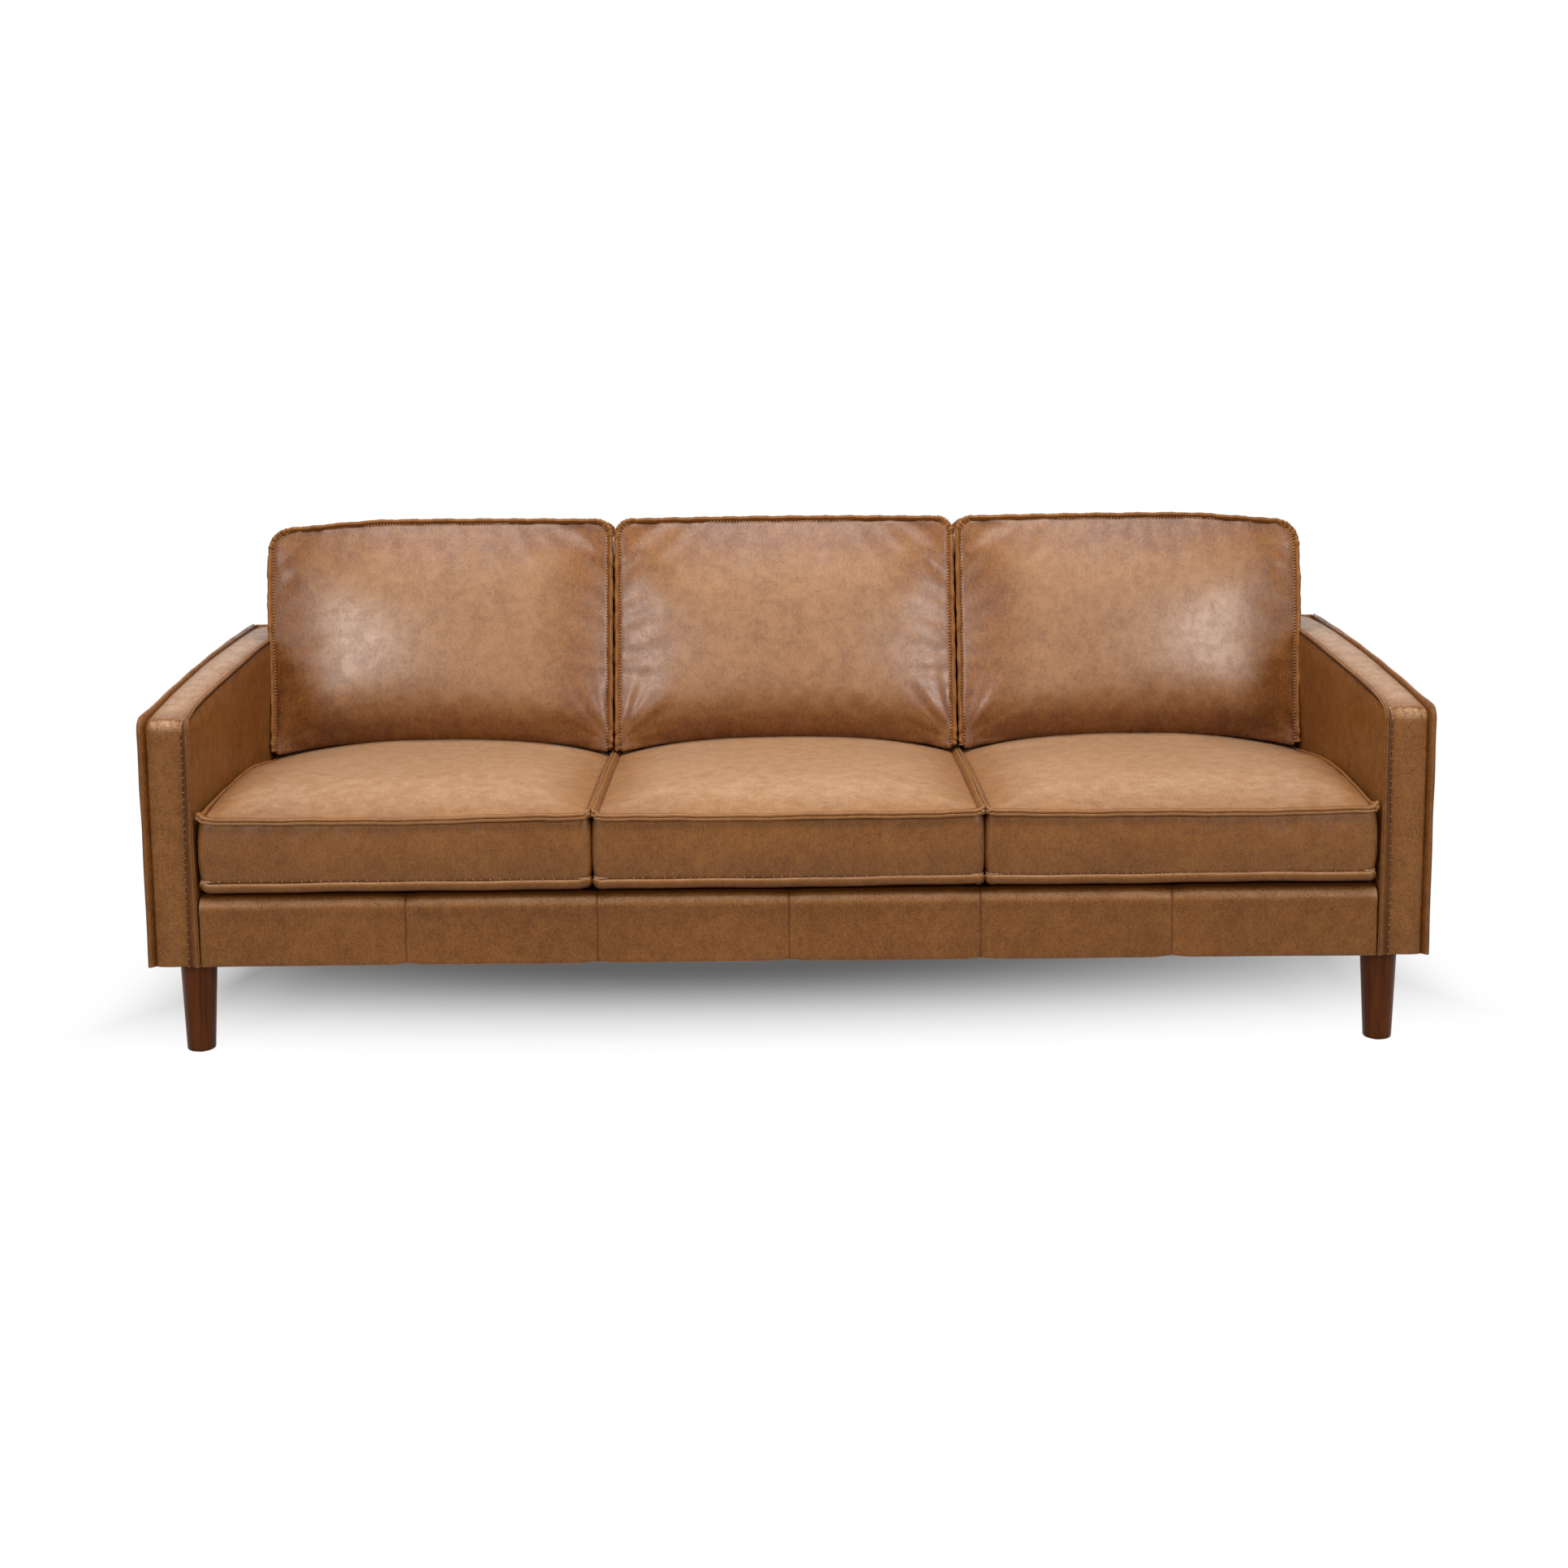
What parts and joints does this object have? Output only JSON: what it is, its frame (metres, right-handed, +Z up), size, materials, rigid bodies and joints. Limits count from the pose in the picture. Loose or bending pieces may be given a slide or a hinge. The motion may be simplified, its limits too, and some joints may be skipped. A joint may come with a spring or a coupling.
{
  "type": "three-seat sofa",
  "caption": "Leather sofa with slim boxed arms, loose seat and back cushions on a webbed hardwood frame, and round tapered wooden legs.",
  "frame": {"origin": "on the floor, midway across the sofa and midway between its front and its back", "axes": "+X to the right seen from the front, +Y towards the back, +Z up"},
  "size_m": [2.15, 0.838, 0.864],
  "materials": {
    "leather": "satin",
    "leg_wood": "satin",
    "frame_wood": "matte",
    "fibreboard": "matte",
    "foam": "matte",
    "webbing": "matte",
    "deck_cloth": "matte",
    "dust_cloth": "matte",
    "steel": "satin",
    "glide_plastic": "matte"
  },
  "bodies": {
    "frame": {"front_rail": "frame_wood", "back_rail": "frame_wood", "left_side_rail": "frame_wood", "right_side_rail": "frame_wood", "seat_crossbars": "frame_wood", "corner_blocks": "frame_wood", "leg_blocks": "frame_wood", "left_arm_base_rail": "frame_wood", "right_arm_base_rail": "frame_wood", "left_arm_posts": "frame_wood", "right_arm_posts": "frame_wood", "left_arm_top_rail": "frame_wood", "right_arm_top_rail": "frame_wood", "left_arm_boards": "fibreboard", "right_arm_boards": "fibreboard", "left_arm_padding": "foam", "right_arm_padding": "foam", "left_arm_inside_panel": "leather", "right_arm_inside_panel": "leather", "left_arm_outside_panel": "leather", "right_arm_outside_panel": "leather", "left_arm_boxing": "leather", "right_arm_boxing": "leather", "arm_bolts": "steel", "back_posts": "frame_wood", "back_top_rail": "frame_wood", "back_lower_rails": "frame_wood", "back_board": "fibreboard", "back_straps": "webbing", "back_padding": "foam", "back_inside_cover": "leather", "back_outside_cover": "leather", "seat_straps": "webbing", "seat_cross_straps": "webbing", "deck_pad": "foam", "deck_cloth": "deck_cloth", "front_edge_padding": "foam", "front_rail_cover": "leather", "dust_cover": "dust_cloth", "front_left_leg": "leg_wood", "front_right_leg": "leg_wood", "back_left_leg": "leg_wood", "back_right_leg": "leg_wood", "leg_nuts": "steel", "leg_bolts": "steel", "leg_glides": "glide_plastic"},
    "left_seat_cushion": {"left_seat_cover": "leather", "left_seat_core": "foam"},
    "middle_seat_cushion": {"middle_seat_cover": "leather", "middle_seat_core": "foam"},
    "right_seat_cushion": {"right_seat_cover": "leather", "right_seat_core": "foam"},
    "left_back_cushion": {"left_back_cover": "leather", "left_back_core": "foam"},
    "middle_back_cushion": {"middle_back_cover": "leather", "middle_back_core": "foam"},
    "right_back_cushion": {"right_back_cover": "leather", "right_back_core": "foam"}
  },
  "joints": [
    {"name": "left_seat_pull", "type": "slide", "parent": "frame", "child": "left_seat_cushion", "axis": [0, -1, 0], "range_m": [0, 0.6]},
    {"name": "middle_seat_pull", "type": "slide", "parent": "frame", "child": "middle_seat_cushion", "axis": [0, -1, 0], "range_m": [0, 0.6]},
    {"name": "right_seat_pull", "type": "slide", "parent": "frame", "child": "right_seat_cushion", "axis": [0, -1, 0], "range_m": [0, 0.6]},
    {"name": "left_back_lift", "type": "slide", "parent": "frame", "child": "left_back_cushion", "axis": [0, 0, 1], "range_m": [0, 0.5]},
    {"name": "middle_back_lift", "type": "slide", "parent": "frame", "child": "middle_back_cushion", "axis": [0, 0, 1], "range_m": [0, 0.5]},
    {"name": "right_back_lift", "type": "slide", "parent": "frame", "child": "right_back_cushion", "axis": [0, 0, 1], "range_m": [0, 0.5]}
  ]
}
